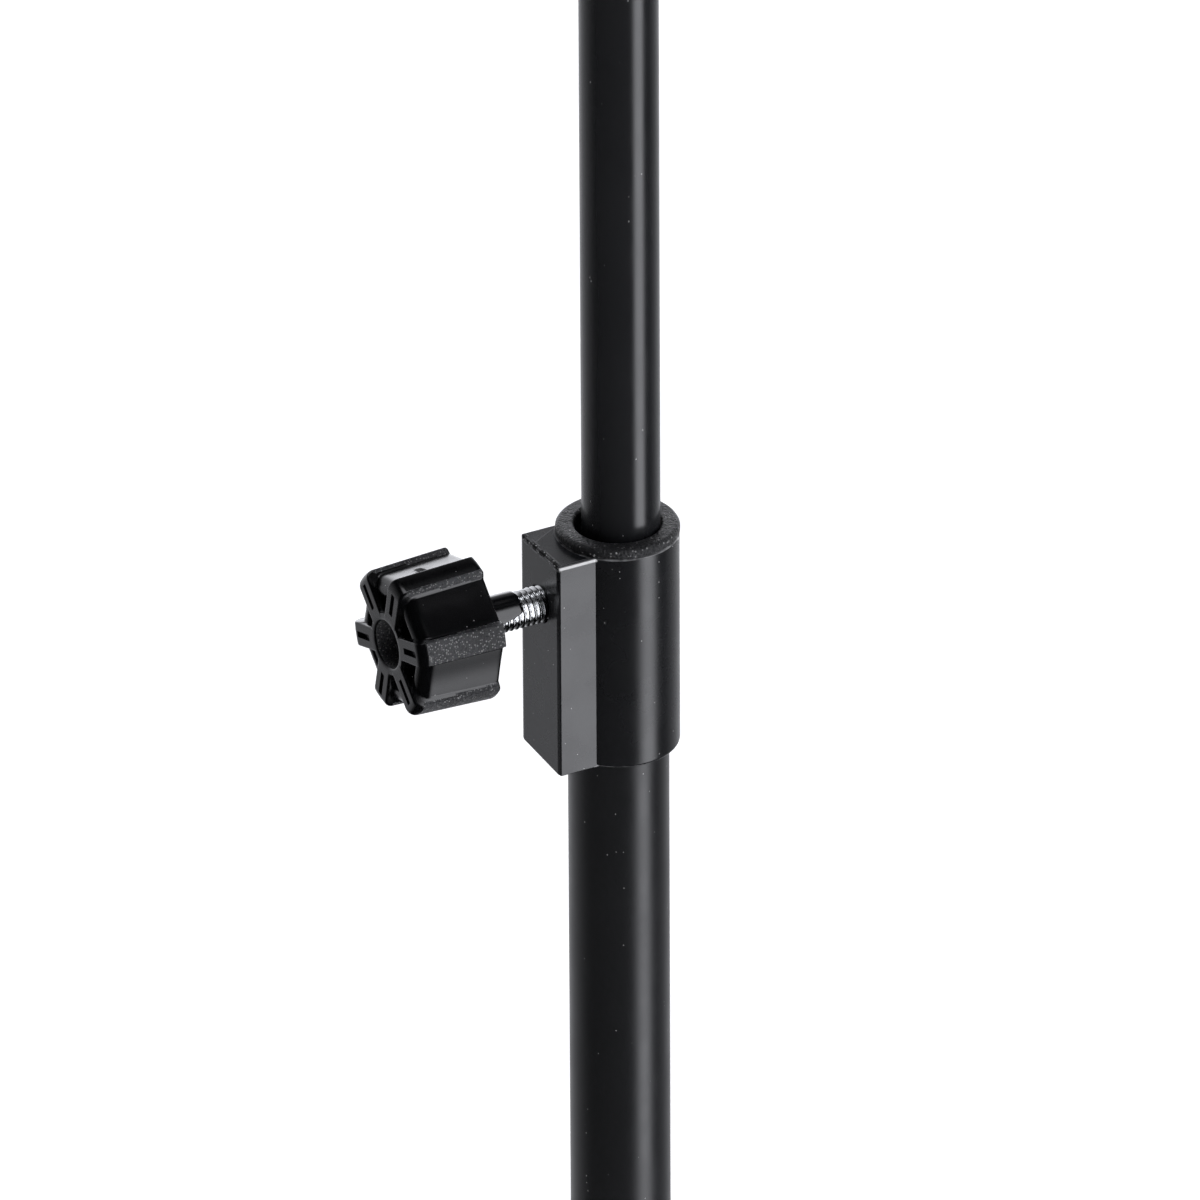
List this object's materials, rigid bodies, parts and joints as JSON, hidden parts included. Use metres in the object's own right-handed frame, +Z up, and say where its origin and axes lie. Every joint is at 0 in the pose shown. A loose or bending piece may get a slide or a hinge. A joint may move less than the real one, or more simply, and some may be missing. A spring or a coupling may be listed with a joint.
{
  "type": "music stand",
  "caption": "Folding tripod music stand with a screw-clamped telescopic mast that swivels and a tilting sheet-steel desk with a shelf and lip.",
  "frame": {"origin": "on the floor, under the middle of the open stand's bounding box", "axes": "+Z up, +Y away from the player, +X to the player's right"},
  "size_m": [0.6042, 0.524, 1.2347],
  "materials": {
    "black_paint": "satin",
    "black_plastic": "satin",
    "black_nylon": "matte",
    "rubber": "matte",
    "brass": "satin",
    "zinc": "bright zinc plate"
  },
  "bodies": {
    "frame": {"lower_tube": "black_paint", "tube_end_cap": "black_plastic", "brace_hub": "black_nylon", "hub_rivet": "zinc", "hub_pin_1": "zinc", "hub_pin_2": "zinc", "hub_pin_3": "zinc", "clutch_collar": "black_paint", "clutch_bush": "black_nylon"},
    "brace_arm_1": {"brace_1": "black_paint"},
    "brace_arm_2": {"brace_2": "black_paint"},
    "brace_arm_3": {"brace_3": "black_paint"},
    "leg_arm_1": {"leg_1": "black_paint", "foot_1": "rubber", "brace_pin_1": "zinc"},
    "leg_arm_2": {"leg_2": "black_paint", "foot_2": "rubber", "brace_pin_2": "zinc"},
    "leg_arm_3": {"leg_3": "black_paint", "foot_3": "rubber", "brace_pin_3": "zinc"},
    "leg_slide": {"leg_collar": "black_nylon", "leg_pin_1": "zinc", "leg_pin_2": "zinc", "leg_pin_3": "zinc"},
    "leg_pad_body": {"leg_clamp_pad": "brass"},
    "leg_screw": {"leg_clamp_stud": "zinc", "leg_clamp_knob": "black_plastic"},
    "clutch_pad_body": {"clutch_pad": "brass"},
    "clutch_screw": {"clutch_stud": "zinc", "clutch_knob": "black_plastic"},
    "mast_foot": {"mast_glide": "black_plastic"},
    "mast": {"upper_tube": "black_paint", "mast_head": "black_paint", "friction_washer_left": "black_nylon", "friction_washer_right": "black_nylon"},
    "desk": {"desk_plate": "black_paint", "desk_bracket": "black_paint", "tilt_bolt": "zinc", "desk_rivet_1": "zinc", "desk_rivet_2": "zinc", "desk_rivet_3": "zinc", "desk_rivet_4": "zinc"},
    "tilt_washer_body": {"tilt_washer": "zinc"},
    "tilt_screw": {"tilt_knob": "black_plastic"}
  },
  "joints": [
    {"name": "brace_1_fold", "type": "hinge", "parent": "frame", "child": "brace_arm_1", "pos_m": [0, -0.05211, 0.1112], "axis": [1, 0, 0], "range_deg": [0, 42]},
    {"name": "leg_1_fold", "type": "hinge", "parent": "brace_arm_1", "child": "leg_arm_1", "pos_m": [0, 0.04079, 0.19484], "axis": [1, 0, 0], "range_deg": [-84, 0]},
    {"name": "brace_2_fold", "type": "hinge", "parent": "frame", "child": "brace_arm_2", "pos_m": [-0.02598, -0.09711, 0.1112], "axis": [-0.5, 0.866, 0], "range_deg": [0, 42]},
    {"name": "leg_2_fold", "type": "hinge", "parent": "brace_arm_2", "child": "leg_arm_2", "pos_m": [-0.10643, -0.14355, 0.19484], "axis": [-0.5, 0.866, 0], "range_deg": [-84, 0]},
    {"name": "brace_3_fold", "type": "hinge", "parent": "frame", "child": "brace_arm_3", "pos_m": [0.02598, -0.09711, 0.1112], "axis": [-0.5, -0.866, 0], "range_deg": [0, 42]},
    {"name": "leg_3_fold", "type": "hinge", "parent": "brace_arm_3", "child": "leg_arm_3", "pos_m": [0.10643, -0.14355, 0.19484], "axis": [-0.5, -0.866, 0], "range_deg": [-84, 0]},
    {"name": "leg_collar_rise", "type": "hinge", "parent": "leg_arm_1", "child": "leg_slide", "pos_m": [0, -0.05211, 0.27848], "axis": [1, 0, 0], "range_deg": [0, 42]},
    {"name": "leg_pad_slide", "type": "slide", "parent": "leg_slide", "child": "leg_pad_body", "axis": [0, -1, 0], "range_m": [0, 0.0025]},
    {"name": "leg_knob_turn", "type": "hinge", "parent": "leg_pad_body", "child": "leg_screw", "pos_m": [0, -0.11211, 0.29648], "axis": [0, -1, 0], "range_deg": [0, 720]},
    {"name": "clutch_pad_slide", "type": "slide", "parent": "frame", "child": "clutch_pad_body", "axis": [-1, 0, 0], "range_m": [0, 0.0025]},
    {"name": "clutch_knob_turn", "type": "hinge", "parent": "clutch_pad_body", "child": "clutch_screw", "pos_m": [-0.03, -0.08211, 0.607], "axis": [-1, 0, 0], "range_deg": [0, 720]},
    {"name": "mast_height", "type": "slide", "parent": "frame", "child": "mast_foot", "axis": [0, 0, 1], "range_m": [-0.24, 0.1]},
    {"name": "mast_swivel", "type": "hinge", "parent": "mast_foot", "child": "mast", "pos_m": [0.0008, -0.08211, 0.7], "axis": [0, 0, 1], "continuous": true},
    {"name": "desk_tilt", "type": "hinge", "parent": "mast", "child": "desk", "pos_m": [0.0008, -0.08211, 1.06], "axis": [-1, 0, 0], "range_deg": [-17, 70]},
    {"name": "tilt_washer_slide", "type": "slide", "parent": "desk", "child": "tilt_washer_body", "axis": [1, 0, 0], "range_m": [0, 0.0025]},
    {"name": "tilt_knob_turn", "type": "hinge", "parent": "tilt_washer_body", "child": "tilt_screw", "pos_m": [0.0208, -0.08211, 1.06], "axis": [1, 0, 0], "range_deg": [0, 720]}
  ],
  "couplings": [
    {"joint": "leg_1_fold", "follows": "brace_1_fold", "ratio": -2},
    {"joint": "brace_2_fold", "follows": "brace_1_fold", "ratio": 1},
    {"joint": "leg_2_fold", "follows": "brace_1_fold", "ratio": -2},
    {"joint": "brace_3_fold", "follows": "brace_1_fold", "ratio": 1},
    {"joint": "leg_3_fold", "follows": "brace_1_fold", "ratio": -2},
    {"joint": "leg_collar_rise", "follows": "brace_1_fold", "ratio": 1},
    {"joint": "leg_pad_slide", "follows": "leg_knob_turn", "m_per_rad": 0.00019894},
    {"joint": "clutch_pad_slide", "follows": "clutch_knob_turn", "m_per_rad": 0.00019894},
    {"joint": "tilt_washer_slide", "follows": "tilt_knob_turn", "m_per_rad": 0.00019894}
  ]
}
